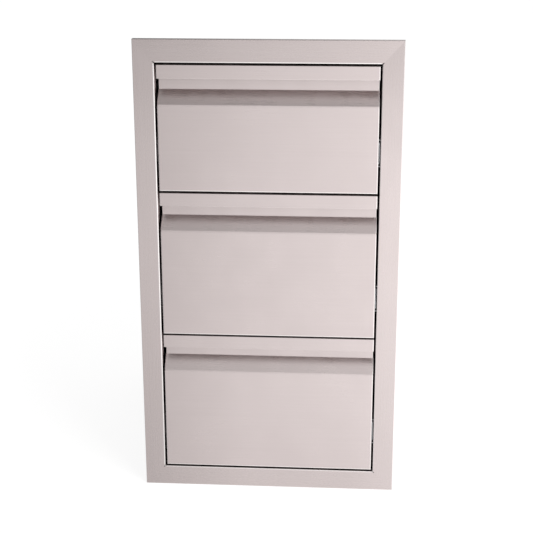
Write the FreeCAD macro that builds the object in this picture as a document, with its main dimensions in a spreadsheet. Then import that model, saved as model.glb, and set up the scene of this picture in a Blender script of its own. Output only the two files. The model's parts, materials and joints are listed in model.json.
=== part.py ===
"""Outdoor kitchen drawer unit: three stainless drawers on ball-bearing slides in a built-in cabinet.

Millimetres. The geometry is written in the front frame: X to the right, Y back from the plane of
the face frame, Z up from the face frame's lower edge. Every sub-part's placement then moves it to
the row frame, whose origin is the middle of the cabinet's underside.
"""
import FreeCAD
import Part
import math
import os
import Sketcher

DRIVING = {
    "frame_width": 438.0,
    "frame_height": 790.0,
    "stile_width": 35.0,
    "bottom_rail": 35.5,
    "outer_return": 12.0,
    "inner_return": 22.0,
    "slit_length": 2.8,
    "slit_width": 0.6,
    "corner_notch": 1.6,
    "sheet": 1.2,
    "frame_bend": 1.1,
    "front_bend": 1.5,
    "lip_bend": 1.0,
    "pull_radius": 2.0,
    "edge_bend": 5.0,
    "hem_radius": 1.1,
    "lower_gap": 3.0,
    "middle_gap": 2.6,
    "upper_gap": 3.5,
    "top_gap": 3.9,
    "side_gap": 3.3,
    "lower_height": 245.2,
    "middle_height": 249.5,
    "upper_height": 209.3,
    "pull_height": 65.7,
    "pull_depth": 22.0,
    "pull_rise": 23.7,
    "pull_inset": 0.9,
    "lip_height": 22.2,
    "hem_height": 8.0,
    "liner_inset": 1.5,
    "panel_start": 6.0,
    "cabinet_depth": 546.2,
    "flange": 12.0,
    "cover_gap": 1.0,
    "top_fall": 38.0,
    "box_sheet": 1.0,
    "box_bend": 0.9,
    "box_lift": 13.0,
    "lower_box": 184.2,
    "middle_box": 184.2,
    "upper_box": 148.3,
    "box_length": 505.3,
    "box_rim": 9.0,
    "slide_start": 25.0,
    "slide_length": 500.0,
    "slide_lift": 50.0,
    "slide_half": 22.8,
    "slide_thick": 12.7,
    "slide_bend": 1.0,
    "member_reach": 9.8,
    "mid_web": 2.4,
    "mid_half": 18.0,
    "mid_flange": 1.6,
    "inner_half": 12.8,
    "inner_reach": 4.8,
    "ball_radius": 2.0,
    "ball_play": 0.05,
    "outer_row_x": 6.2,
    "outer_row_z": 19.8,
    "inner_row_x": 6.8,
    "inner_row_z": 14.6,
    "cage_sheet": 0.6,
    "cage_wing": 0.8,
    "cage_gap": 0.3,
    "outer_wing": 2.7,
    "inner_wing": 2.6,
    "cage_start": 155.0,
    "cage_length": 240.0,
    "ball_margin": 15.0,
    "screw_radius": 2.0,
    "screw_play": 0.1,
    "screw_head": 4.2,
    "head_height": 2.4,
    "socket_radius": 1.5,
    "slide_screw_end": 40.0,
    "front_screw_side": 35.0,
    "front_screw_edge": 25.0,
    "bumper_radius": 7.0,
    "bumper_tip": 5.6,
    "bumper_length": 15.0,
    "bumper_across": 140.0,
    "mount_hole": 2.75,
    "mount_front": 45.0,
    "mount_rear": 445.0,
    "mount_low": 170.0,
    "mount_high": 690.0,
}
SCREWS_PER_SLIDE = 3
SOCKET_SIDES = 6
BALLS_PER_ROW = 6
SIDES = {"left": -1, "right": 1}
DRAWERS = ("lower", "middle", "upper")
SHEET_NAME = "Dims"
SAME_PLACE = 0.001
BORE_OVERRUN = 5
# Shares of a screw head's height and radius
HEAD_RIM = 0.4
HEAD_CROWN = 0.72
SOCKET_FLOOR = 0.35


class Size:
    """A length, with the spreadsheet formula that gives it."""

    def __init__(self, value, text):
        self.value = value
        self.text = text

    def __add__(self, other):
        other = as_size(other)
        return Size(self.value + other.value, f"({self.text} + {other.text})")

    def __sub__(self, other):
        other = as_size(other)
        return Size(self.value - other.value, f"({self.text} - {other.text})")

    def __mul__(self, other):
        other = as_size(other)
        return Size(self.value * other.value, f"({self.text} * {other.text})")

    def __truediv__(self, other):
        other = as_size(other)
        return Size(self.value / other.value, f"({self.text} / {other.text})")

    def __neg__(self):
        return self * -1


def as_size(number):
    """A plain number as a Size, and a Size as it is."""
    if isinstance(number, Size):
        return number
    return Size(float(number), f"({number})")


def length_of(side_a, side_b):
    """The long side of a right triangle."""
    text = f"sqrt({side_a.text} ^ 2 + {side_b.text} ^ 2)"
    return Size(math.hypot(side_a.value, side_b.value), text)


doc = FreeCAD.newDocument("outdoor_drawer_unit")
sheet = doc.addObject("Spreadsheet::Sheet", SHEET_NAME)
for row, (alias, value) in enumerate(DRIVING.items(), start=1):
    sheet.set(f"A{row}", alias)
    sheet.set(f"B{row}", str(value))
    sheet.setAlias(f"B{row}", alias)
doc.recompute()


def dim(alias):
    """The driving dimension in the spreadsheet cell of this alias."""
    return Size(float(sheet.get(alias)), f"{SHEET_NAME}.{alias}")


# Heights and widths that several sub-parts share
zero = as_size(0)
half_width = dim("frame_width") / 2
thick = dim("sheet")
open_half = half_width - dim("stile_width")
open_low = dim("bottom_rail")
front_heights = dim("lower_height") + dim("middle_height") + dim("upper_height")
front_gaps = dim("lower_gap") + dim("middle_gap") + dim("upper_gap") + dim("top_gap")
open_high = open_low + front_heights + front_gaps
front_half = open_half - dim("side_gap")
skin_depth = dim("pull_depth") + thick
front_depth = skin_depth + thick
panel_face = open_half + thick
wall_back = dim("cabinet_depth") - thick
box_half = panel_face - dim("slide_thick")
box_back = front_depth + dim("box_length")
underside = open_low - thick * 2
front_high = open_high + thick * 2
rear_high = front_high - dim("top_fall")
fall_start = dim("inner_return") + dim("cover_gap")
flange_end = wall_back - dim("flange") - dim("cover_gap")
middle_depth = (dim("panel_start") + dim("cabinet_depth")) / 2

nodes = []


def node(shape_object, label):
    """Names a sub-part and places it in the row frame."""
    shape_object.Label = label
    shape_object.Placement = FreeCAD.Placement()
    shape_object.setExpression("Placement.Base.y", (-middle_depth).text)
    shape_object.setExpression("Placement.Base.z", (-underside).text)
    nodes.append(shape_object)


def fixed_node(shape, label):
    """Makes a sub-part from a shape that holds many separate solids."""
    feature = doc.addObject("Part::Feature", label + "_group")
    feature.Shape = shape
    node(feature, label)


TURN_TO = {
    "X": FreeCAD.Rotation(FreeCAD.Vector(0, 1, 0), 90),
    "Y": FreeCAD.Rotation(FreeCAD.Vector(1, 0, 0), -90),
}


def rod(name, radius, axis, start, length):
    """A cylinder along X or Y from its start point."""
    solid = doc.addObject("Part::Cylinder", name)
    solid.Placement = FreeCAD.Placement(FreeCAD.Vector(), TURN_TO[axis])
    solid.setExpression("Radius", radius.text)
    solid.setExpression("Height", length.text)
    for letter, place in zip("xyz", start):
        solid.setExpression(f"Placement.Base.{letter}", place.text)
    return solid


def bored(name, base, tools):
    """The base solid with the tool solids taken out of it."""
    joined = doc.addObject("Part::MultiFuse", name + "_tools")
    joined.Shapes = tools
    result = doc.addObject("Part::Cut", name + "_bored")
    result.Base = base
    result.Tool = joined
    return result


def add_outline(body, name, plane, points):
    """A closed sketch whose corners are bound to the spreadsheet."""
    sketch = body.newObject("Sketcher::SketchObject", name)
    support = next(f for f in body.Origin.OriginFeatures if f.Role == plane + "_Plane")
    sketch.AttachmentSupport = [(support, "")]
    sketch.MapMode = "FlatFace"
    places = [FreeCAD.Vector(first.value, second.value, 0) for first, second in points]
    ends = places[1:] + places[:1]
    sketch.addGeometry([Part.LineSegment(a, b) for a, b in zip(places, ends)], False)
    for index, point in enumerate(points):
        following = (index + 1) % len(points)
        sketch.addConstraint(Sketcher.Constraint("Coincident", index, 2, following, 1))
        for kind, size, cross_axis in zip(("DistanceX", "DistanceY"), point, (-2, -1)):
            if size.value == 0:
                sketch.addConstraint(Sketcher.Constraint("PointOnObject", index, 1, cross_axis))
                continue
            place = sketch.addConstraint(Sketcher.Constraint(kind, -1, 1, index, 1, size.value))
            sketch.setExpression(f"Constraints[{place}]", size.text)
    return sketch


def add_pad(body, name, plane, points, low, high):
    """A solid from an outline on one of the body's planes, between two depths along its normal.

    Plane XZ takes (x, z) and depths on Y, plane YZ takes (y, z) and depths on X, and plane XY
    takes (x, y) and depths on Z.
    """
    sketch = add_outline(body, name + "_outline", plane, points)
    backwards = plane == "XZ"
    sketch.setExpression("AttachmentOffset.Base.z", (-low if backwards else low).text)
    pad = body.newObject("PartDesign::Pad", name + "_pad")
    pad.Profile = sketch
    pad.Reversed = backwards
    pad.setExpression("Length", (high - low).text)
    return pad


def add_pocket(body, name, points, start, hand):
    """Cuts an outline on plane YZ out of the body, from a place on X outwards to its end.

    hand is 1 for the body's right end and -1 for its left end.
    """
    sketch = add_outline(body, name + "_outline", "YZ", points)
    sketch.setExpression("AttachmentOffset.Base.z", (start * hand).text)
    before = body.Tip.Shape.Volume if body.Tip.Shape else 0
    pocket = body.newObject("PartDesign::Pocket", name + "_pocket")
    pocket.Profile = sketch
    pocket.Type = "ThroughAll"
    pocket.Reversed = hand > 0
    doc.recompute()
    if pocket.Shape.Volume >= before:
        raise RuntimeError(f"{name} cuts nothing")
    return pocket


def rectangle(across, up):
    """The four corners of a rectangle from its low and high sizes."""
    return [(across[0], up[0]), (across[1], up[0]), (across[1], up[1]), (across[0], up[1])]


def round_edges(body, feature, name, radius, lines, up=None):
    """Rounds the feature's edges that lie on the given lines.

    Each line is a dictionary of the coordinates that stay the same along it. Where up gives a
    low and a high size, only edges whose middle is between them on Z are rounded.
    """
    doc.recompute()
    found = []
    for index, edge in enumerate(feature.Shape.Edges, start=1):
        corners = [vertex.Point for vertex in edge.Vertexes]
        if len(corners) != 2:
            continue
        middle = (corners[0].z + corners[1].z) / 2
        if up and not up[0].value <= middle <= up[1].value:
            continue
        for line in lines:
            places = [abs(getattr(p, axis) - size.value) for p in corners for axis, size in line.items()]
            if max(places) < SAME_PLACE:
                found.append(f"Edge{index}")
    fillet = body.newObject("PartDesign::Fillet", name)
    fillet.Base = (feature, found)
    fillet.setExpression("Radius", radius.text)
    return fillet


def new_body(label):
    """An empty body for one folded or rolled piece."""
    return doc.addObject("PartDesign::Body", label + "_body")


def screw(radius, reach, seat, direction):
    """A button-head screw, placed by the middle of its head's underside.

    The head stands out along the direction, and the shank reaches the other way.
    """
    head_radius = dim("screw_head").value
    height = dim("head_height").value
    socket = dim("socket_radius").value
    crown = [
        (0.0, -reach),
        (radius, -reach),
        (radius, 0.0),
        (head_radius, 0.0),
        (head_radius, height * HEAD_RIM),
        (head_radius * HEAD_CROWN, height),
        (0.0, height),
    ]
    wire = Part.makePolygon([FreeCAD.Vector(r, 0, z) for r, z in crown + crown[:1]])
    solid = Part.Face(wire).revolve(FreeCAD.Vector(), FreeCAD.Vector(0, 0, 1), 360)
    corners = [math.tau * n / SOCKET_SIDES for n in range(SOCKET_SIDES + 1)]
    floor = height * SOCKET_FLOOR
    ring = [FreeCAD.Vector(socket * math.cos(a), socket * math.sin(a), floor) for a in corners]
    drive = Part.Face(Part.makePolygon(ring)).extrude(FreeCAD.Vector(0, 0, height))
    solid = Part.Solid(solid.cut(drive).Solids[0])
    turn = FreeCAD.Rotation(FreeCAD.Vector(0, 0, 1), direction)
    solid.Placement = FreeCAD.Placement(seat, turn)
    return solid


def spread(low, high, count):
    """Evenly spaced places from low to high, both included."""
    return [low + (high - low) * (n / (count - 1)) for n in range(count)]


# The face frame: two stiles and two rails, mitred and welded at the corners
def ordered(first, second):
    """Two sizes, the lower one first."""
    return (first, second) if first.value < second.value else (second, first)


def mitre(tip, corner, step_across, step_up):
    """A mitred end's points, from the frame's tip to the opening's corner.

    A short relief slit opens beside the opening's corner, on the piece's own side of the mitre.
    """
    run = tip[0] - corner[0]
    rise = tip[1] - corner[1]
    share = dim("slit_length") / length_of(run, rise)
    start = (corner[0] + run * share, corner[1] + rise * share)
    along = dim("slit_width") * step_across
    up = dim("slit_width") * step_up
    return [tip, start, (start[0] + along, start[1] + up), (corner[0] + along, corner[1] + up)]


def frame_member(label, outline, edge, reveal, lines):
    """One side of the face frame: its face, the return at its outer edge and one round the opening."""
    body = new_body(label)
    add_pad(body, label + "_face", "XZ", outline, zero, thick)
    add_pad(body, label + "_edge", "XZ", rectangle(*edge), thick, dim("outer_return"))
    last = add_pad(body, label + "_reveal", "XZ", rectangle(*reveal), thick, dim("inner_return"))
    round_edges(body, last, label + "_bends", dim("frame_bend"), lines)
    node(body, label)


def stile(label, hand):
    """An upright of the face frame. hand is -1 on the left and 1 on the right."""
    outer = half_width * hand
    inner = open_half * hand
    top = dim("frame_height")
    low_end = mitre((outer, zero), (inner, open_low), 0, 1)
    high_end = mitre((outer, top), (inner, open_high), 0, -1)
    edge = (ordered(outer, outer - thick * hand), (zero, top))
    notch = dim("corner_notch")
    reveal = (ordered(inner, inner + thick * hand), (open_low + notch, open_high - notch))
    lines = [{"x": outer, "y": zero}, {"x": inner, "y": zero}]
    frame_member(label, low_end + high_end[::-1], edge, reveal, lines)


def rail(label, outer, inner, hand):
    """A crosspiece of the face frame. hand is 1 for the top rail and -1 for the bottom rail."""
    left_end = mitre((-half_width, outer), (-open_half, inner), 1, 0)
    right_end = mitre((half_width, outer), (open_half, inner), -1, 0)
    inside = half_width - thick
    edge = ((-inside, inside), ordered(outer, outer - thick * hand))
    reach = open_half - dim("corner_notch")
    reveal = ((-reach, reach), ordered(inner, inner + thick * hand))
    lines = [{"z": outer, "y": zero}, {"z": inner, "y": zero}]
    frame_member(label, left_end + right_end[::-1], edge, reveal, lines)


for side, hand in SIDES.items():
    stile(f"frame_{side}_stile", hand)
rail("frame_top_rail", dim("frame_height"), open_high, 1)
rail("frame_bottom_rail", zero, open_low, -1)


# The drawers, from the lowest one up
class Drawer:
    """The places that one drawer's pieces share."""

    def __init__(self, name, bottom):
        self.name = name
        self.bottom = bottom
        self.top = bottom + dim(name + "_height")
        self.pull_edge = self.top - dim("pull_height")
        self.pull_corner = self.pull_edge + dim("pull_rise")
        self.box_low = bottom + dim("box_lift")
        self.box_high = self.box_low + dim(name + "_box")
        self.slide_z = self.box_low + dim("slide_lift")


drawers = []
level = open_low
for name in DRAWERS:
    drawers.append(Drawer(name, level + dim(name + "_gap")))
    level = drawers[-1].top


# The cabinet behind the face frame
def screw_places(drawer):
    """The places on Y of the screws that hold one slide, with its height."""
    first = dim("slide_start") + dim("slide_screw_end")
    last = dim("slide_start") + dim("slide_length") - dim("slide_screw_end")
    return [(place, drawer.slide_z) for place in spread(first, last, SCREWS_PER_SLIDE)]


def cabinet_side(label, hand):
    """A side panel, lapped on the stile's return, with its mounting and slide screw holes.

    Its top edge falls towards the back with the cabinet's top.
    """
    face = panel_face * hand
    across = ordered(face, face + thick * hand)
    outline = [
        (dim("panel_start"), underside),
        (wall_back, underside),
        (wall_back, rear_high),
        (fall_start, front_high),
        (dim("panel_start"), front_high),
    ]
    body = new_body(label)
    add_pad(body, label + "_panel", "YZ", outline, *across)
    start = across[0] - BORE_OVERRUN
    reach = thick + 2 * BORE_OVERRUN
    backs = (dim("mount_front"), dim("mount_rear"))
    heights = (dim("mount_low"), dim("mount_high"))
    mounts = [(back, height) for back in backs for height in heights]
    holes = []
    for number, (back, height) in enumerate(mounts):
        name = f"{label}_mount_hole_{number}"
        holes.append(rod(name, dim("mount_hole"), "X", (start, back, height), reach))
    bore = dim("screw_radius") + dim("screw_play")
    for drawer in drawers:
        for number, (back, height) in enumerate(screw_places(drawer)):
            name = f"{label}_{drawer.name}_hole_{number}"
            holes.append(rod(name, bore, "X", (start, back, height), reach))
    node(bored(label, body, holes), label)


def cabinet_bottom(label):
    """The bottom panel, lapped under the bottom rail's return, with a flange up at each side."""
    inner = open_low - thick
    tip = inner + dim("flange")
    web = panel_face - thick
    outline = [
        (-panel_face, underside),
        (panel_face, underside),
        (panel_face, tip),
        (web, tip),
        (web, inner),
        (-web, inner),
        (-web, tip),
        (-panel_face, tip),
    ]
    body = new_body(label)
    add_pad(body, label + "_tray", "XZ", outline, fall_start, flange_end)
    plate = rectangle((-panel_face, panel_face), (underside, inner))
    add_pad(body, label + "_plate", "XZ", plate, dim("panel_start"), wall_back)
    node(body, label)


def cabinet_top(label):
    """The top panel, lapped on the top rail's return and falling towards the back to shed water."""
    slope = dim("top_fall") / (wall_back - fall_start)
    front_low = front_high - thick
    rear_low = rear_high - thick
    section = [
        (dim("panel_start"), front_low),
        (dim("panel_start"), front_high),
        (fall_start, front_high),
        (wall_back, rear_high),
        (wall_back, rear_low),
        (fall_start, front_low),
    ]
    end_low = rear_low + slope * (wall_back - flange_end)
    lap = [
        (fall_start, front_low),
        (flange_end, end_low),
        (flange_end, end_low - dim("flange")),
        (fall_start, front_low - dim("flange")),
    ]
    body = new_body(label)
    add_pad(body, label + "_fold", "YZ", section, -panel_face, panel_face)
    for side, hand in SIDES.items():
        across = ordered((panel_face - thick) * hand, panel_face * hand)
        add_pad(body, f"{label}_{side}_lap", "YZ", lap, *across)
    node(body, label)


def cabinet_back(label):
    """The back panel, with a flange forwards inside each side panel."""
    outer = panel_face + thick
    web = panel_face - thick
    front = wall_back - dim("flange")
    body = new_body(label)
    plate = rectangle((-outer, outer), (wall_back, dim("cabinet_depth")))
    add_pad(body, label + "_plate", "XY", plate, underside, rear_high)
    for side, hand in SIDES.items():
        lap = rectangle(ordered(web * hand, panel_face * hand), (front, wall_back))
        add_pad(body, f"{label}_{side}_lap", "XY", lap, underside + thick, rear_high - thick)
    node(body, label)


for side, hand in SIDES.items():
    cabinet_side(f"cabinet_{side}_side", hand)
cabinet_top("cabinet_top")
cabinet_bottom("cabinet_bottom")
cabinet_back("cabinet_back")

bumpers = []
bumper_sizes = [dim(alias).value for alias in ("bumper_radius", "bumper_tip", "bumper_length")]
for drawer in drawers:
    height = (drawer.box_low + drawer.box_high) / 2
    for hand in SIDES.values():
        start = FreeCAD.Vector(dim("bumper_across").value * hand, wall_back.value, height.value)
        bumpers.append(Part.makeCone(*bumper_sizes, start, FreeCAD.Vector(0, -1, 0)))
fixed_node(Part.makeCompound(bumpers), "rear_bumpers")


# The ball-bearing slides
def at_side(hand, depth):
    """The place on X of a depth measured inwards from a side panel."""
    return (panel_face - depth) * hand


def channel(label, hand, web, tip, half, flange, drawer):
    """One rolled slide member: its web lies between two depths and its flanges reach to tip."""
    web_near, web_far = web
    towards = web_far if tip.value > web_far.value else web_near
    closed = web_near if tip.value > web_far.value else web_far
    centre = drawer.slide_z
    outline = [
        (at_side(hand, closed), centre - half),
        (at_side(hand, tip), centre - half),
        (at_side(hand, tip), centre - half + flange),
        (at_side(hand, towards), centre - half + flange),
        (at_side(hand, towards), centre + half - flange),
        (at_side(hand, tip), centre + half - flange),
        (at_side(hand, tip), centre + half),
        (at_side(hand, closed), centre + half),
    ]
    body = new_body(label)
    start = dim("slide_start")
    pad = add_pad(body, label + "_channel", "XZ", outline, start, start + dim("slide_length"))
    corners = [{"x": at_side(hand, closed), "z": centre + half * sign} for sign in (-1, 1)]
    round_edges(body, pad, label + "_bends", dim("slide_bend"), corners)
    return body


def grooves(label, hand, drawer, row_x, row_z):
    """The two ball races along a member, one above and one below its middle."""
    radius = dim("ball_radius") + dim("ball_play")
    start = dim("slide_start") - BORE_OVERRUN
    length = dim("slide_length") + 2 * BORE_OVERRUN
    tools = []
    for name, sign in (("low", -1), ("high", 1)):
        place = (at_side(hand, row_x), start, drawer.slide_z + row_z * sign)
        tools.append(rod(f"{label}_{name}_race", radius, "Y", place, length))
    return tools


def screw_bores(label, hand, drawer, depth, length):
    """The screw holes through a member's web."""
    start = at_side(hand, depth) - length / 2
    bore = dim("screw_radius") + dim("screw_play")
    tools = []
    for number, (back, height) in enumerate(screw_places(drawer)):
        tools.append(rod(f"{label}_bore_{number}", bore, "X", (start, back, height), length))
    return tools


def cage(label, hand, drawer, web_depth, reach, row_x, row_z):
    """A ball cage and its two rows of balls, as separate solids."""
    start = dim("cage_start").value
    length = dim("cage_length").value
    wing = dim("cage_wing").value
    strip = dim("cage_sheet").value
    radius = dim("ball_radius").value
    hole = radius + dim("ball_play").value
    margin = dim("ball_margin").value
    centre = drawer.slide_z.value

    def slab(near, far, low, high):
        left, right = sorted((at_side(hand, as_size(near)).value, at_side(hand, as_size(far)).value))
        corner = FreeCAD.Vector(left, start, low)
        return Part.makeBox(right - left, length, high - low, corner)

    outside = row_z.value + wing / 2
    solid = slab(web_depth, web_depth + strip, centre - outside, centre + outside)
    for sign in (-1, 1):
        middle = centre + sign * row_z.value
        solid = solid.fuse(slab(web_depth, reach, middle - wing / 2, middle + wing / 2))
    balls = []
    across = at_side(hand, row_x).value
    for back in spread(start + margin, start + length - margin, BALLS_PER_ROW):
        for sign in (-1, 1):
            middle = FreeCAD.Vector(across, back, centre + sign * row_z.value)
            balls.append(Part.makeSphere(radius, middle))
            foot = middle - FreeCAD.Vector(0, 0, wing)
            solid = solid.cut(Part.makeCylinder(hole, wing * 2, foot))
    fixed_node(Part.makeCompound([solid.removeSplitter().Solids[0], *balls]), label)


def slide(drawer, side, hand):
    """One full-extension slide: outer, middle and inner members with a ball cage between each pair."""
    stem = f"{drawer.name}_{side}_slide"
    outer_row = (dim("outer_row_x"), dim("outer_row_z"))
    inner_row = (dim("inner_row_x"), dim("inner_row_z"))

    label = stem + "_outer"
    body = channel(label, hand, (zero, thick), dim("member_reach"), dim("slide_half"), thick, drawer)
    holes = screw_bores(label, hand, drawer, thick / 2, thick * 3)
    node(bored(label, body, grooves(label, hand, drawer, *outer_row) + holes), label)

    label = stem + "_middle"
    web = (dim("mid_web"), dim("mid_web") + thick)
    body = channel(label, hand, web, dim("member_reach"), dim("mid_half"), dim("mid_flange"), drawer)
    races = grooves(label + "_outer", hand, drawer, *outer_row) + grooves(label, hand, drawer, *inner_row)
    node(bored(label, body, races), label)

    label = stem + "_inner"
    web = (dim("slide_thick") - thick, dim("slide_thick"))
    body = channel(label, hand, web, dim("inner_reach"), dim("inner_half"), thick, drawer)
    near = dim("slide_thick") - thick / 2
    holes = screw_bores(label, hand, drawer, near, thick * 3)
    node(bored(label, body, grooves(label, hand, drawer, *inner_row) + holes), label)

    gap = dim("cage_gap").value
    first = thick.value + gap
    tip = (dim("outer_row_x") + dim("outer_wing")).value
    cage(stem + "_outer_cage", hand, drawer, first, tip, *outer_row)
    second = dim("mid_web").value + thick.value + gap
    tip = (dim("inner_row_x") + dim("inner_wing")).value
    cage(stem + "_inner_cage", hand, drawer, second, tip, *inner_row)


for drawer in drawers:
    for side, hand in SIDES.items():
        slide(drawer, side, hand)

for side, hand in SIDES.items():
    screws = []
    for drawer in drawers:
        for back, height in screw_places(drawer):
            seat = FreeCAD.Vector((panel_face + thick).value * hand, back.value, height.value)
            reach = thick.value * 2
            screws.append(screw(dim("screw_radius").value, reach, seat, FreeCAD.Vector(hand, 0, 0)))
    fixed_node(Part.makeCompound(screws), f"slide_screws_{side}")


# The drawer fronts and boxes
def front_skin(drawer, label):
    """The drawer's front: one folded sheet with a full-width finger pull under its top lip."""
    depth = dim("pull_depth")
    slope = length_of(depth, dim("pull_rise"))
    drop = thick * (slope - dim("pull_rise")) / depth
    lip_low = drawer.top - dim("lip_height")
    hem_high = lip_low + dim("hem_height")
    section = [
        (skin_depth, drawer.bottom),
        (zero, drawer.bottom),
        (zero, drawer.pull_edge),
        (depth, drawer.pull_corner),
        (depth, drawer.top - thick),
        (thick, drawer.top - thick),
        (thick, hem_high),
        (thick * 2, hem_high),
        (thick * 2, lip_low),
        (zero, lip_low),
        (zero, drawer.top),
        (skin_depth, drawer.top),
        (skin_depth, drawer.pull_corner - drop),
        (thick, drawer.pull_edge - drop),
        (thick, drawer.bottom + thick),
        (skin_depth, drawer.bottom + thick),
    ]
    cheek = [
        (zero, drawer.bottom),
        (skin_depth, drawer.bottom),
        (skin_depth, drawer.pull_corner - drop),
        (thick, drawer.pull_edge - drop),
        (zero, drawer.pull_edge),
    ]
    body = new_body(label)
    add_pad(body, label + "_fold", "YZ", section, -front_half, front_half)
    add_pad(body, label + "_left_cheek", "YZ", cheek, -front_half, -front_half + thick)
    add_pad(body, label + "_right_cheek", "YZ", cheek, front_half - thick, front_half)
    doc.recompute()
    floor_start = drawer.pull_edge - drop + thick * dim("pull_rise") / depth
    channel_end = [
        (thick * 2, floor_start),
        (skin_depth, drawer.pull_corner - drop),
        (skin_depth, drawer.top - thick),
        (thick * 2, drawer.top - thick),
    ]
    for side, hand in SIDES.items():
        start = front_half - dim("pull_inset")
        last = add_pocket(body, f"{label}_{side}_inset", channel_end, start, hand)
    edge = [{"y": zero, "z": drawer.pull_edge}]
    last = round_edges(body, last, label + "_edge_bend", dim("edge_bend"), edge)
    ends = [{"x": -front_half, "y": zero}, {"x": front_half, "y": zero}]
    face = [{"y": zero, "z": drawer.bottom}, *ends]
    below_pull = (drawer.bottom, drawer.pull_edge)
    last = round_edges(body, last, label + "_face_bends", dim("front_bend"), face, below_pull)
    pull = [{"y": depth, "z": drawer.pull_corner}]
    last = round_edges(body, last, label + "_pull_bends", dim("pull_radius"), pull)
    hem = [{"y": zero, "z": lip_low}, {"y": thick * 2, "z": lip_low}]
    last = round_edges(body, last, label + "_hem", dim("hem_radius"), hem)
    lip = [{"y": zero, "z": drawer.top}, *ends]
    round_edges(body, last, label + "_lip_bends", dim("lip_bend"), lip, (lip_low, drawer.top))
    node(body, label)


def front_screw_places(drawer):
    """The places on X and Z of the four screws that hold the front to the box."""
    across = box_half - dim("front_screw_side")
    low = drawer.box_low + dim("front_screw_edge")
    high = drawer.box_high - dim("front_screw_edge")
    return [(across * hand, height) for hand in SIDES.values() for height in (low, high)]


def front_bores(label, drawer):
    """The holes for the front's screws."""
    bore = dim("screw_radius") + dim("screw_play")
    tools = []
    for number, (across, height) in enumerate(front_screw_places(drawer)):
        place = (across, skin_depth - thick * 2, height)
        tools.append(rod(f"{label}_bore_{number}", bore, "Y", place, thick * 6))
    return tools


def front_liner(drawer, label):
    """The plate that closes the front's back, with a stiffening flange inside each cheek."""
    body = new_body(label)
    half = front_half - dim("liner_inset")
    plate = rectangle((-half, half), (drawer.bottom, drawer.top))
    add_pad(body, label + "_plate", "XZ", plate, skin_depth, front_depth)
    high = drawer.pull_edge - thick * 2
    for side, hand in SIDES.items():
        near = (front_half - thick) * hand
        across = ordered(near, near - thick * hand)
        flange = rectangle(across, (drawer.bottom + thick, high))
        add_pad(body, f"{label}_{side}_flange", "XZ", flange, dim("panel_start"), skin_depth)
    node(bored(label, body, front_bores(label, drawer)), label)


def box_wrap(drawer, label):
    """The drawer box's bottom and sides, one folded sheet with a rim turned in at each top edge."""
    wall = dim("box_sheet")
    low = drawer.box_low
    high = drawer.box_high
    half = box_half
    rim = box_half - dim("box_rim")
    inside = box_half - wall
    right = [
        (half, low),
        (half, high),
        (rim, high),
        (rim, high - wall),
        (inside, high - wall),
        (inside, low + wall),
    ]
    left = [(-across, up) for across, up in reversed(right)]
    body = new_body(label)
    pad = add_pad(body, label + "_fold", "XZ", right + left, front_depth, box_back)
    lines = [{"x": half * hand, "z": height} for hand in (-1, 1) for height in (low, high)]
    round_edges(body, pad, label + "_bends", dim("box_bend"), lines)
    tools = []
    for side, hand in SIDES.items():
        near = dim("slide_thick") + wall / 2
        tools += screw_bores(f"{label}_{side}", hand, drawer, near, wall * 4)
    node(bored(label, body, tools), label)


def box_end(drawer, label, front, hand):
    """An end of the drawer box, with its top edge turned inwards. hand is 1 for the front end."""
    wall = dim("box_sheet")
    low = drawer.box_low + wall
    high = drawer.box_high - wall
    tip = front + dim("box_rim") * hand
    section = [
        (front, low),
        (front, high),
        (tip, high),
        (tip, high - wall),
        (front + wall * hand, high - wall),
        (front + wall * hand, low),
    ]
    body = new_body(label)
    half = box_half - wall
    add_pad(body, label + "_fold", "YZ", section, -half, half)
    if hand > 0:
        node(bored(label, body, front_bores(label, drawer)), label)
    else:
        node(body, label)


def box_screws(drawer, label):
    """The screws that hold the box to its slides and to the front, with their heads inside."""
    radius = dim("screw_radius").value
    wall = dim("box_sheet").value
    solids = []
    for hand in SIDES.values():
        across = (box_half.value - wall) * hand
        for back, height in screw_places(drawer):
            seat = FreeCAD.Vector(across, back.value, height.value)
            solids.append(screw(radius, wall + thick.value, seat, FreeCAD.Vector(-hand, 0, 0)))
    inner_face = front_depth.value + wall
    for across, height in front_screw_places(drawer):
        seat = FreeCAD.Vector(across.value, inner_face, height.value)
        solids.append(screw(radius, wall + thick.value * 3, seat, FreeCAD.Vector(0, 1, 0)))
    fixed_node(Part.makeCompound(solids), label)


for drawer in drawers:
    front_skin(drawer, drawer.name + "_front_skin")
    front_liner(drawer, drawer.name + "_front_liner")
    box_wrap(drawer, drawer.name + "_box_wrap")
    box_end(drawer, drawer.name + "_box_front_end", front_depth, 1)
    box_end(drawer, drawer.name + "_box_back_end", box_back, -1)
    box_screws(drawer, drawer.name + "_box_screws")


# Every object is tested before anything is written
doc.recompute()
for item in doc.Objects:
    if "Invalid" in item.State or "Error" in item.State:
        raise RuntimeError(f"{item.Label} failed: {item.State}")
for item in nodes:
    if item.Shape.isNull() or not item.Shape.isValid() or not item.Shape.Solids:
        raise RuntimeError(f"{item.Label} has no valid shape")
os.makedirs("parts", exist_ok=True)
for item in nodes:
    item.Shape.exportStep(f"parts/{item.Label}.step")
print(f"{len(nodes)} nodes, {sum(len(item.Shape.Solids) for item in nodes)} solids")
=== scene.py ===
"""Looks of the outdoor kitchen drawer unit: steel finishes, weld marks, floor, light and camera."""
import json
import math

import bmesh
import bpy
from mathutils import Matrix, Vector


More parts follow.
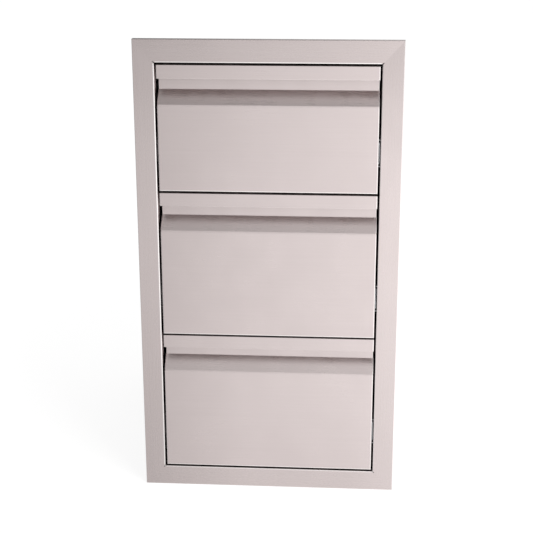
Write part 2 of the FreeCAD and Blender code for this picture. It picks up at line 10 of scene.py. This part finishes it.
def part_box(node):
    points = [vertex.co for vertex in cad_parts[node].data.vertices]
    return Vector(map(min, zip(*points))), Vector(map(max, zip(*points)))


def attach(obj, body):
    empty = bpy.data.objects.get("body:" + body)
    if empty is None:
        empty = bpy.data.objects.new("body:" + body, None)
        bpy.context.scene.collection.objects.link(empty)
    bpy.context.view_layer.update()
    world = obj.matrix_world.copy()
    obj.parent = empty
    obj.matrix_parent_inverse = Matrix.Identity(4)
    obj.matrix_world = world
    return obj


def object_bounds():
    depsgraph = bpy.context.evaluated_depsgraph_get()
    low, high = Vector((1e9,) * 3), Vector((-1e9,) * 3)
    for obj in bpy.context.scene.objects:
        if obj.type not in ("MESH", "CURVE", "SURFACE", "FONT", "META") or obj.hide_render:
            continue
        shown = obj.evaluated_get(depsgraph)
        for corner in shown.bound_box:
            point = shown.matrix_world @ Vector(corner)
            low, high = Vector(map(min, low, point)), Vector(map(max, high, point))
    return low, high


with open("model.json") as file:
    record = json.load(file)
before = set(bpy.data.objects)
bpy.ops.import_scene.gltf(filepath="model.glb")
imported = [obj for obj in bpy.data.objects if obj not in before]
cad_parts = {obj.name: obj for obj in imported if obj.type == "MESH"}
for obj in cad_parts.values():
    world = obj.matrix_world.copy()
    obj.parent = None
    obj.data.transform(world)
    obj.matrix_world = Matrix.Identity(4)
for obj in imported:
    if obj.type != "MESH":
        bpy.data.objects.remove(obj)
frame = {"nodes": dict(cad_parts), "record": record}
cad_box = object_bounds()
nodes = frame["nodes"]
slot_of = {part["node"]: part["material_slot"] for part in frame["record"]["subparts"]}
scene = bpy.context.scene

# The darkest and the lightest linear colour of each finish
FRONT_TONES = ((0.585, 0.515, 0.507), (0.645, 0.572, 0.566))
FRAME_TONES = ((0.545, 0.480, 0.472), (0.600, 0.533, 0.527))
PLAIN_TONES = ((0.50, 0.48, 0.47), (0.60, 0.58, 0.57))
BOX_TONES = ((0.54, 0.51, 0.50), (0.62, 0.59, 0.58))
ZINC_TONES = ((0.46, 0.48, 0.51), (0.60, 0.62, 0.64))
CAGE_TONES = ((0.40, 0.41, 0.42), (0.55, 0.56, 0.57))
SCREW_TONES = ((0.48, 0.48, 0.49), (0.62, 0.62, 0.63))
RUBBER_TONES = ((0.018, 0.018, 0.019), (0.034, 0.034, 0.036))
# Near-white steel colour of the painted highlights on bends and edge lines, and the straw and blue
# of a weld's heat tint
PAINTED_HIGHLIGHT = (0.94, 0.89, 0.88)
TINTS = ((0.42, 0.36, 0.29), (0.34, 0.35, 0.40))

# Edge lines with a painted highlight: the axis that the line crosses, its middle and its strength
STILE_HIGHLIGHTS = (("X", -0.1851, 0.95),)
RAIL_HIGHLIGHTS = (("Z", 0.7204, 0.9), ("Z", 0.0014, 0.5))
FRONT_HIGHLIGHTS = (("X", 0.1800, 0.75), ("Z", 0.0064, 0.9), ("Z", 0.2542, 0.9), ("Z", 0.5072, 0.9))
# How far from its middle such a line is at full strength, and how far it reaches, in metres
HIGHLIGHT_CORE = 0.00048
HIGHLIGHT_REACH = 0.0012

# The frame's opening: half its width, and its lower and upper edges, in metres
OPEN_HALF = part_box("frame_right_stile")[0][0]
OPEN_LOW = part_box("frame_bottom_rail")[1][2]
OPEN_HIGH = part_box("frame_top_rail")[0][2]
# Where the painted highlight lines fade out, in metres past the opening's corners
HIGHLIGHT_ENDS = (-0.0025, -0.0010)
# Painted shade in the mitres' dark open ends, and where it fades out, in metres from a mitre and
# past a corner
SLIT_SHADE = (0.030, 0.027, 0.026)
SLIT_SHADE_WIDTH = (0.0009, 0.0014)
SLIT_SHADE_LENGTH = (0.0022, 0.0028)

# Directions of the grain, slightly askew so that no face is exactly square to one
GRAIN = {"X": (1.0, 0.01, 0.0), "Y": (0.01, 1.0, 0.0), "Z": (0.0, 0.01, 1.0)}

# Values between which nearly all of a noise lies
NOISE_LOW = 0.3
NOISE_HIGH = 0.7
# The largest part of a normal on a full bend and on a flat face
BEND_RANGE = (0.80, 0.99)
# The upward part of a normal where a slope starts to count, and where it counts in full
SLOPE_RANGE = (0.05, 0.10)

# Depths of the surface relief, in metres
BRUSHED_DEPTH = 0.000008
ROLLED_DEPTH = 0.00002
DRAWN_DEPTH = 0.00001
TURNED_DEPTH = 0.00001
RUBBER_DEPTH = 0.00006
WELD_DEPTH = 0.00003


class Graph:
    """A node tree, with short calls for the nodes that the scene uses."""

    def __init__(self, tree):
        self.tree = tree

    def node(self, kind, inputs=None, **settings):
        """A new node with its settings, and its inputs by name or number."""
        made = self.tree.nodes.new(kind)
        for name, value in settings.items():
            setattr(made, name, value)
        for name, value in (inputs or {}).items():
            self.feed(made, name, value)
        return made

    def feed(self, made, name, value):
        """Sets a socket to a value, or links it to another node's output."""
        if isinstance(value, bpy.types.NodeSocket):
            self.tree.links.new(value, made.inputs[name])
        else:
            made.inputs[name].default_value = value

    def maths(self, operation, *values):
        """The result of an operation on numbers."""
        made = self.node("ShaderNodeMath", dict(enumerate(values)), operation=operation)
        return made.outputs["Value"]

    def vectors(self, operation, *values):
        """The node of an operation on vectors."""
        return self.node("ShaderNodeVectorMath", dict(enumerate(values)), operation=operation)

    def parts(self, vector):
        """A vector's X, Y and Z."""
        return self.node("ShaderNodeSeparateXYZ", {"Vector": vector}).outputs

    def spans(self, value, low, high, start=NOISE_LOW, end=NOISE_HIGH):
        """The value remapped from start..end to low..high."""
        inputs = {"Value": value, "From Min": start, "From Max": end, "To Min": low, "To Max": high}
        return self.node("ShaderNodeMapRange", inputs, clamp=True).outputs["Result"]

    def seen_by(self, kinds):
        """1 for rays of the named kinds, and 0 for others."""
        path = self.node("ShaderNodeLightPath").outputs
        total = path[kinds[0]]
        for kind in kinds[1:]:
            total = self.maths("MAXIMUM", total, path[kind])
        return total

    def switched(self, share, first, second):
        """The number first where share is 0, and second where it is 1."""
        return self.node("ShaderNodeMix", {0: share, 2: first, 3: second}).outputs[0]

    def ramp(self, value, stops):
        """Brightness over a value from -1 to 1, through the given (value, brightness) stops."""
        curve = self.node("ShaderNodeFloatCurve", {"Value": self.spans(value, 0.0, 1.0, -1.0, 1.0)})
        points = curve.mapping.curves[0].points
        for index, (place, level) in enumerate(stops):
            # The curve runs from 0 to 1 both ways, so places are shifted and brightness is halved
            at = ((place + 1) / 2, level / 2)
            if index < 2:
                points[index].location = at
            else:
                points.new(*at)
            points[index].handle_type = "VECTOR"
        curve.mapping.update()
        return self.maths("MULTIPLY", curve.outputs["Value"], 2.0)


class Finish(Graph):
    """A material's node tree, with short calls for what its finish is made of."""

    def __init__(self, name):
        self.material = bpy.data.materials.new(name)
        self.material.use_nodes = True
        super().__init__(self.material.node_tree)
        self.shader = self.tree.nodes["Principled BSDF"]
        self.place = self.node("ShaderNodeTexCoord").outputs["Object"]

    def noise(self, scale, detail=2.0, offset=(0, 0, 0)):
        """Noise from 0 to 1 whose grain repeats as often per metre on each axis as scale says."""
        spread = self.node(
            "ShaderNodeMapping", {"Vector": self.place, "Scale": scale, "Location": offset}
        )
        texture = self.node(
            "ShaderNodeTexNoise",
            {"Vector": spread.outputs["Vector"], "Scale": 1.0, "Detail": detail},
        )
        return texture.outputs["Fac"]

    def swings(self, value, middle, reach):
        """Noise remapped to go from reach below a middle to reach above it."""
        return self.spans(value, middle - reach, middle + reach)

    def weighed(self, *shares):
        """The sum of several (noise, share), each noise remapped to go from 0 to its share."""
        parts = [self.spans(value, 0.0, share) for value, share in shares]
        total = parts[0]
        for part in parts[1:]:
            total = self.maths("ADD", total, part)
        return total

    def between(self, share, dark, light):
        """The colour that lies between dark and light by share."""
        made = self.node("ShaderNodeMix", data_type="RGBA")
        self.feed(made, 0, share)
        for number, colour in ((6, dark), (7, light)):
            linked = isinstance(colour, bpy.types.NodeSocket)
            self.feed(made, number, colour if linked else (*colour, 1.0))
        return made.outputs[2]

    def true_normal(self):
        return self.node("ShaderNodeNewGeometry").outputs["True Normal"]

    def bends(self):
        """1 on bends, where the surface turns between two of the axes, and 0 on flat faces."""
        parts = self.parts(self.vectors("ABSOLUTE", self.true_normal()).outputs["Vector"])
        most = self.maths("MAXIMUM", parts["X"], parts["Y"])
        most = self.maths("MAXIMUM", most, parts["Z"])
        return self.spans(most, 1.0, 0.0, *BEND_RANGE)

    def facing_up(self):
        """1 on surfaces that lean back to face upwards, and 0 on upright and hanging ones."""
        return self.spans(self.parts(self.true_normal())["Z"], 0.0, 1.0, *SLOPE_RANGE)

    def painted_highlight_lines(self, lines, mitred):
        """From 0 to 1 on the edge lines that get a painted highlight, fading before mitred corners.
        """
        parts = self.parts(self.place)
        most = 0.0
        for axis, middle, strength in lines:
            away = self.maths("ABSOLUTE", self.maths("SUBTRACT", parts[axis], middle))
            line = self.spans(away, strength, 0.0, HIGHLIGHT_CORE, HIGHLIGHT_REACH)
            most = self.maths("MAXIMUM", line, most)
        if not mitred:
            return most
        past_corner = self.maths("MINIMUM", *self.past_opening())
        return self.maths("MULTIPLY", most, self.spans(past_corner, 1.0, 0.0, *HIGHLIGHT_ENDS))

    def past_opening(self):
        """How far out from the frame's opening the surface is, sideways and up or down."""
        parts = self.parts(self.place)
        aside = self.maths("SUBTRACT", self.maths("ABSOLUTE", parts["X"]), OPEN_HALF)
        height = self.maths("SUBTRACT", parts["Z"], (OPEN_LOW + OPEN_HIGH) / 2)
        above = self.maths("SUBTRACT", self.maths("ABSOLUTE", height), (OPEN_HIGH - OPEN_LOW) / 2)
        return aside, above

    def painted_slit_shade(self):
        """1 where shade is painted on the mitres' open ends at the opening's corners, and 0
        elsewhere.
        """
        aside, above = self.past_opening()
        from_mitre = self.maths("ABSOLUTE", self.maths("SUBTRACT", aside, above))
        past_corner = self.maths("MAXIMUM", aside, above)
        beside = self.spans(from_mitre, 1.0, 0.0, *SLIT_SHADE_WIDTH)
        return self.maths("MULTIPLY", beside, self.spans(past_corner, 1.0, 0.0, *SLIT_SHADE_LENGTH))

    def across_grain(self, along):
        """The direction in the surface that crosses a grain running along one axis."""
        return self.vectors("CROSS_PRODUCT", self.true_normal(), GRAIN[along]).outputs["Vector"]

    def relief(self, height, depth):
        """Raises the surface by height times depth, in metres."""
        made = self.node("ShaderNodeBump", {"Height": height, "Distance": depth})
        self.feed(self.shader, "Normal", made.outputs["Normal"])

    def finish(self, colour, roughness, **constants):
        """Feeds the shader, sets its other inputs to constants, and gives the material."""
        self.feed(self.shader, "Base Color", colour)
        self.feed(self.shader, "Roughness", roughness)
        for name, value in constants.items():
            self.shader.inputs[name.title()].default_value = value
        return self.material


def lengthwise(along, with_grain, across_it):
    """Noise scales for lines that run along one axis."""
    return tuple(with_grain if axis == along else across_it for axis in "XYZ")


def brushed(name, along, tones, roughness, spread, slope_roughness=0.0, lines=(), mitred=False):
    """Steel brushed along one axis: long fine lines, a few deeper ones and faint hand marks.

    Bends and the given lines get a painted highlight, but not bends that face upwards. There,
    slope_roughness is added to the roughness. Mitred steel gets painted shade in its mitres' open
    ends.
    """
    g = Finish(name)
    fine = g.noise(lengthwise(along, with_grain=22, across_it=1900), detail=3.0)
    bands = g.noise(lengthwise(along, with_grain=3.5, across_it=260), offset=(3, 5, 7))
    broad = g.noise((4.2, 4.2, 3.1), offset=(9, 2, 4))
    marks = g.noise((23, 23, 17), detail=4.0, offset=(1, 8, 6))
    tone = g.weighed((fine, 0.35), (bands, 0.15), (broad, 0.35))
    turning = g.bends()
    slopes = g.maths("MULTIPLY", turning, g.facing_up())
    # Painted highlight mask: bends that don't face upwards, and the given edge lines
    highlight_mask = g.maths("SUBTRACT", turning, slopes)
    if lines:
        highlight_mask = g.maths("MAXIMUM", highlight_mask, g.painted_highlight_lines(lines, mitred))
    # Painted highlight: the mask blends the brushed tone towards a near-white steel colour
    colour = g.between(highlight_mask, g.between(tone, *tones), PAINTED_HIGHLIGHT)
    # Painted shade: the mitres' open ends, where the slits are dark, are blended to near-black
    if mitred:
        colour = g.between(g.painted_slit_shade(), colour, SLIT_SHADE)
    rough = g.maths("ADD", g.swings(fine, roughness, 0.04), g.swings(marks, 0.0, 0.03))
    rough = g.maths("SUBTRACT", rough, g.maths("MULTIPLY", highlight_mask, 0.10))
    rough = g.maths("ADD", rough, g.maths("MULTIPLY", slopes, slope_roughness))
    g.relief(g.weighed((fine, 0.8), (bands, 0.2)), BRUSHED_DEPTH)
    g.feed(g.shader, "Tangent", g.across_grain(along))
    return g.finish(colour, rough, metallic=1.0, anisotropic=spread)


def rolled(name, tones, roughness):
    """Plain cold-rolled sheet: a faint mottle with handling scuffs."""
    g = Finish(name)
    mottle = g.noise((60, 45, 60), detail=5.0)
    broad = g.noise((5, 3, 4), detail=3.0, offset=(2, 6, 1))
    scuff = g.noise((240, 14, 240), detail=3.0, offset=(4, 4, 9))
    colour = g.between(g.weighed((mottle, 0.4), (broad, 0.6)), *tones)
    scuffed = g.spans(scuff, roughness - 0.05, roughness + 0.06)
    rough = g.maths("ADD", scuffed, g.swings(broad, 0.0, 0.03))
    g.relief(g.weighed((mottle, 0.5), (scuff, 0.3)), ROLLED_DEPTH)
    return g.finish(colour, rough, metallic=1.0)


def plated(name, tones, roughness):
    """Bright zinc: a soft crystal mottle and fine drawing lines along the slide."""
    g = Finish(name)
    cells = g.node("ShaderNodeTexVoronoi", {"Vector": g.place, "Scale": 160.0}, feature="F1")
    drawn = g.noise((900, 12, 900))
    crystal = g.spans(cells.outputs["Distance"], 0.0, 0.5, start=0.0, end=0.8)
    tone = g.maths("ADD", crystal, g.spans(drawn, 0.0, 0.5))
    rough = g.spans(drawn, roughness - 0.05, roughness + 0.07)
    g.relief(drawn, DRAWN_DEPTH)
    return g.finish(g.between(tone, *tones), rough, metallic=1.0)


def turned(name, tones, roughness):
    """Small bright parts with a machined grain."""
    g = Finish(name)
    cut = g.noise((1300, 1300, 1300))
    tone = g.spans(g.noise((180, 180, 180), offset=(5, 5, 5)), 0.0, 1.0)
    rough = g.spans(cut, roughness - 0.06, roughness + 0.08)
    g.relief(cut, TURNED_DEPTH)
    return g.finish(g.between(tone, *tones), rough, metallic=1.0)


def rubber(name, tones):
    """Moulded rubber with a dusty bloom."""
    g = Finish(name)
    pores = g.noise((1100, 1100, 1100), detail=3.0)
    bloom = g.spans(g.noise((90, 90, 90), detail=3.0, offset=(7, 1, 3)), 0.0, 1.0)
    g.relief(pores, RUBBER_DEPTH)
    return g.finish(g.between(bloom, *tones), g.spans(pores, 0.55, 0.8))


def tinted(name):
    """Steel of a spot weld, with a straw and blue heat tint."""
    g = Finish(name)
    spots = g.noise((420, 420, 420), detail=3.0)
    tint = g.spans(g.noise((90, 90, 90), offset=(3, 1, 2)), 0.0, 1.0)
    g.relief(spots, WELD_DEPTH)
    return g.finish(g.between(tint, *TINTS), g.spans(spots, 0.34, 0.52), metallic=1.0)


FRAME_STEEL = dict(tones=FRAME_TONES, roughness=0.28, spread=0.55, mitred=True)
FINISHES = {
    "front_steel": (
        brushed,
        dict(
            along="X", tones=FRONT_TONES, roughness=0.33, spread=0.72,
            slope_roughness=-0.03, lines=FRONT_HIGHLIGHTS,
        ),
    ),
    "frame_steel_horizontal": (brushed, dict(along="X", lines=RAIL_HIGHLIGHTS, **FRAME_STEEL)),
    "frame_steel_vertical": (brushed, dict(along="Z", lines=STILE_HIGHLIGHTS, **FRAME_STEEL)),
    "liner_steel": (rolled, dict(tones=PLAIN_TONES, roughness=0.42)),
    "cabinet_steel": (rolled, dict(tones=PLAIN_TONES, roughness=0.38)),
    "box_steel": (brushed, dict(along="Y", tones=BOX_TONES, roughness=0.38, spread=0.45)),
    "slide_steel": (plated, dict(tones=ZINC_TONES, roughness=0.30)),
    "cage_steel": (turned, dict(tones=CAGE_TONES, roughness=0.22)),
    "screw_steel": (turned, dict(tones=SCREW_TONES, roughness=0.28)),
    "bumper_rubber": (rubber, dict(tones=RUBBER_TONES)),
}
finishes = {name: make(name, **settings) for name, (make, settings) in FINISHES.items()}
for name, piece in nodes.items():
    piece.data.materials.clear()
    piece.data.materials.append(finishes[slot_of[name]])

# A spot weld's radius, and its height at shares of that radius, in metres
WELD_RADIUS = 0.0027
WELD_PROFILE = ((0.0, 0.00004), (0.55, 0.00005), (0.78, 0.00014), (0.90, 0.00012), (1.0, -0.00003))
WELD_SIDES = 20
# Places of the cabinet's faces and laps, the upper lap's at its front and at its back
SIDE_FACE = 0.1864
TOP_FACE = 0.7218
FRONT_LAP = -0.2621
REAR_LAP = 0.2629
LOWER_LAP = 0.0072
UPPER_LAP = (0.7123, 0.6824)
# The first and last weld's place along a lap, and the number of welds
TOP_WELDS = (-0.165, 0.165, 6)
FRONT_WELDS = (0.034, 0.690, 11)
REAR_WELDS = (0.034, 0.652, 10)
DEEP_WELDS = (-0.205, 0.205, 6)


def spaced(first, last, count):
    """Evenly spaced places from first to last, both included."""
    return [first + (last - first) * n / (count - 1) for n in range(count)]


def weld_places():
    """Each weld's middle with the direction that it faces."""
    places = [((across, FRONT_LAP, TOP_FACE), (0, 0, 1)) for across in spaced(*TOP_WELDS)]
    backs = spaced(*DEEP_WELDS)
    heights = spaced(*UPPER_LAP, len(backs))
    for hand in (-1, 1):
        outward = (hand, 0, 0)
        face = SIDE_FACE * hand
        places += [((face, FRONT_LAP, up), outward) for up in spaced(*FRONT_WELDS)]
        places += [((face, REAR_LAP, up), outward) for up in spaced(*REAR_WELDS)]
        places += [((face, back, LOWER_LAP), outward) for back in backs]
        places += [((face, back, up), outward) for back, up in zip(backs, heights)]
    return places


def make_welds():
    """The cabinet's spot welds, each a shallow ring round a flat middle."""
    mesh = bpy.data.meshes.new("cabinet_spot_welds")
    made = bmesh.new()
    for middle, outward in weld_places():
        turn = Vector((0, 0, 1)).rotation_difference(Vector(outward)).to_matrix()
        rings = []
        for share, height in WELD_PROFILE:
            reach = WELD_RADIUS * share
            steps = WELD_SIDES if share else 1
            angles = [math.tau * n / steps for n in range(steps)]
            ring = [Vector((reach * math.cos(a), reach * math.sin(a), height)) for a in angles]
            rings.append([made.verts.new(Vector(middle) + turn @ point) for point in ring])
        for inner, outer in zip(rings, rings[1:]):
            for n in range(WELD_SIDES):
                following = (n + 1) % WELD_SIDES
                corners = [inner[n % len(inner)], outer[n], outer[following]]
                if len(inner) > 1:
                    corners.append(inner[following])
                made.faces.new(corners).smooth = True
    made.to_mesh(mesh)
    made.free()
    welds = bpy.data.objects.new("cabinet_spot_welds", mesh)
    scene.collection.objects.link(welds)
    mesh.materials.append(tinted("weld_steel"))
    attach(welds, "cabinet")


make_welds()

FLOOR_LEVEL = cad_box[0][2]
FLOOR_HALF = 9.0
FLOOR_COLOUR = (0.80, 0.79, 0.785, 1.0)
SHADOW_COLOUR = (0.34, 0.34, 0.34, 1.0)
GLOW_COLOUR = (0.80, 0.80, 0.80, 1.0)
WORLD_COLOUR = (1.0, 1.0, 1.0, 1.0)
# Strength of the world's light on the object, apart from its reflections
WORLD_STRENGTH = 0.62
# Rays that see the studio as it looks, and those that see its white background
LOOKING = ("Is Camera Ray", "Is Glossy Ray", "Is Transmission Ray")
STRAIGHT = ("Is Camera Ray", "Is Transmission Ray")

# Point on the floor that the studio's sides spread from
SIDE_CENTRE = (0.139, 1.743, 0.0)
# Brightness of reflections by direction: from the left to the right, from the front to the back,
# and from straight down to straight up
SIDE_LIGHT = (
    (-1.0, 0.24), (-0.30, 0.48), (-0.17, 0.70), (-0.09, 1.05),
    (0.0, 1.13), (0.12, 1.62), (0.4, 1.50), (1.0, 1.15),
)
BACK_LIGHT = ((-1.0, 1.0), (-0.3, 1.0), (0.3, 0.6), (1.0, 0.55))
HIGH_LIGHT = (
    (-1.0, 0.86), (0.06, 0.86), (0.16, 1.0), (0.80, 1.0),
    (0.90, 0.94), (0.945, 0.66), (0.97, 0.22), (1.0, 0.04),
)
# How far a direction leans to the front for each unit of its height
OVERHEAD_LEAN = 0.8
# Brightness of the floor's reflection by distance from that point, in metres, up to the farthest
FLOOR_REACH = 10.0
FLOOR_LIGHT = (
    (0.0, 0.95), (1.95, 0.95), (2.3, 0.99), (3.0, 1.10),
    (4.4, 1.17), (5.4, 1.16), (7.0, 0.80), (10.0, 0.74),
)


def sided(g, direction):
    """How bright the studio is towards a direction: dim at the left, bright at the front right."""
    flat = g.vectors("MULTIPLY", direction, (1.0, 1.0, 0.0)).outputs["Vector"]
    parts = g.parts(g.vectors("NORMALIZE", flat).outputs["Vector"])
    return g.maths("MULTIPLY", g.ramp(parts["X"], SIDE_LIGHT), g.ramp(parts["Y"], BACK_LIGHT))


def pulled_forward(g, direction):
    """The direction leant to the front by its height, so that the sides matter less overhead."""
    parts = g.parts(direction)
    above = g.maths("MAXIMUM", parts["Z"], 0.0)
    lean = g.maths("MULTIPLY_ADD", above, -OVERHEAD_LEAN, parts["Y"])
    return g.node("ShaderNodeCombineXYZ", {"X": parts["X"], "Y": lean}).outputs["Vector"]


def backdrop(g, brightness):
    """White to the camera and through glass, and the studio's brightness to reflections."""
    return g.switched(g.seen_by(STRAIGHT), brightness, 1.0)


def make_floor():
    """A plain pale floor that keeps the shadow, and shows white beyond it."""
    mesh = bpy.data.meshes.new("studio_floor")
    signs = ((-1, -1), (1, -1), (1, 1), (-1, 1))
    corners = [(x * FLOOR_HALF, y * FLOOR_HALF, FLOOR_LEVEL) for x, y in signs]
    mesh.from_pydata(corners, [], [(0, 1, 2, 3)])
    floor = bpy.data.objects.new("studio_floor", mesh)
    scene.collection.objects.link(floor)
    material = bpy.data.materials.new("pale_floor")
    material.use_nodes = True
    g = Graph(material.node_tree)
    g.tree.nodes.clear()
    place = g.node("ShaderNodeNewGeometry").outputs["Position"]
    shifted = g.vectors("SUBTRACT", place, SIDE_CENTRE).outputs["Vector"]
    away = g.vectors("LENGTH", shifted).outputs["Value"]
    scaled = g.maths("MULTIPLY_ADD", away, 2 / FLOOR_REACH, -1.0)
    stops = [(2 * distance / FLOOR_REACH - 1, level) for distance, level in FLOOR_LIGHT]
    brightness = g.maths("MULTIPLY", sided(g, shifted), g.ramp(scaled, stops))
    plain = g.node("ShaderNodeBsdfDiffuse", {"Color": FLOOR_COLOUR}).outputs[0]
    shadow = g.node("ShaderNodeBsdfDiffuse", {"Color": SHADOW_COLOUR}).outputs[0]
    glowing = {"Color": GLOW_COLOUR, "Strength": backdrop(g, brightness)}
    glow = g.node("ShaderNodeEmission", glowing).outputs[0]
    shown = g.node("ShaderNodeAddShader", {0: shadow, 1: glow}).outputs[0]
    pick = g.node("ShaderNodeMixShader", {0: g.seen_by(LOOKING), 1: plain, 2: shown}).outputs[0]
    g.node("ShaderNodeOutputMaterial", {"Surface": pick})
    mesh.materials.append(material)


def make_world():
    """Even light on the object, with the studio's sides only in reflections."""
    world = bpy.data.worlds.new("studio_world")
    scene.world = world
    world.use_nodes = True
    g = Graph(world.node_tree)
    g.tree.nodes.clear()
    direction = g.node("ShaderNodeTexCoord").outputs["Generated"]
    high = g.ramp(g.parts(direction)["Z"], HIGH_LIGHT)
    brightness = g.maths("MULTIPLY", sided(g, pulled_forward(g, direction)), high)
    strength = g.switched(g.seen_by(LOOKING), WORLD_STRENGTH, backdrop(g, brightness))
    light = g.node("ShaderNodeBackground", {"Color": WORLD_COLOUR, "Strength": strength})
    g.node("ShaderNodeOutputWorld", {"Surface": light.outputs[0]})


def area_light(name, place, aim, side, power):
    """A square lamp that reflections don't show."""
    lamp = bpy.data.lights.new(name, "AREA")
    lamp.shape = "SQUARE"
    lamp.size = side
    lamp.energy = power
    holder = bpy.data.objects.new(name, lamp)
    scene.collection.objects.link(holder)
    holder.visible_glossy = False
    turn = (Vector(aim) - Vector(place)).to_track_quat("-Z", "Y").to_matrix().to_4x4()
    holder.matrix_world = Matrix.Translation(place) @ turn


# The camera, fitted to the face frame's corners in the photograph
CAMERA_PLACE = (0.1389, -2.2948, 1.0235)
CAMERA_AHEAD = (-0.0666, 0.9504, -0.3038)
CAMERA_ROLL = math.radians(-0.16)
SENSOR_WIDTH = 36.0
FOCAL_LENGTH = 85.24


def make_camera():
    """The photograph's viewpoint."""
    lens = bpy.data.cameras.new("photo_camera")
    lens.sensor_fit = "HORIZONTAL"
    lens.sensor_width = SENSOR_WIDTH
    lens.lens = FOCAL_LENGTH
    camera = bpy.data.objects.new("photo_camera", lens)
    scene.collection.objects.link(camera)
    ahead = Vector(CAMERA_AHEAD).normalized()
    right = ahead.cross(Vector((0, 0, 1))).normalized()
    upward = right.cross(ahead)
    level = right * math.cos(CAMERA_ROLL) + upward * math.sin(CAMERA_ROLL)
    upright = upward * math.cos(CAMERA_ROLL) - right * math.sin(CAMERA_ROLL)
    turn = Matrix((level, upright, -ahead)).transposed()
    camera.matrix_world = Matrix.Translation(CAMERA_PLACE) @ turn.to_4x4()
    scene.camera = camera


make_floor()
make_world()
area_light("key_light", place=(1.9, -2.2, 2.6), aim=(0, 0, 0.35), side=1.8, power=55)
make_camera()
scene.view_settings.view_transform = "Standard"
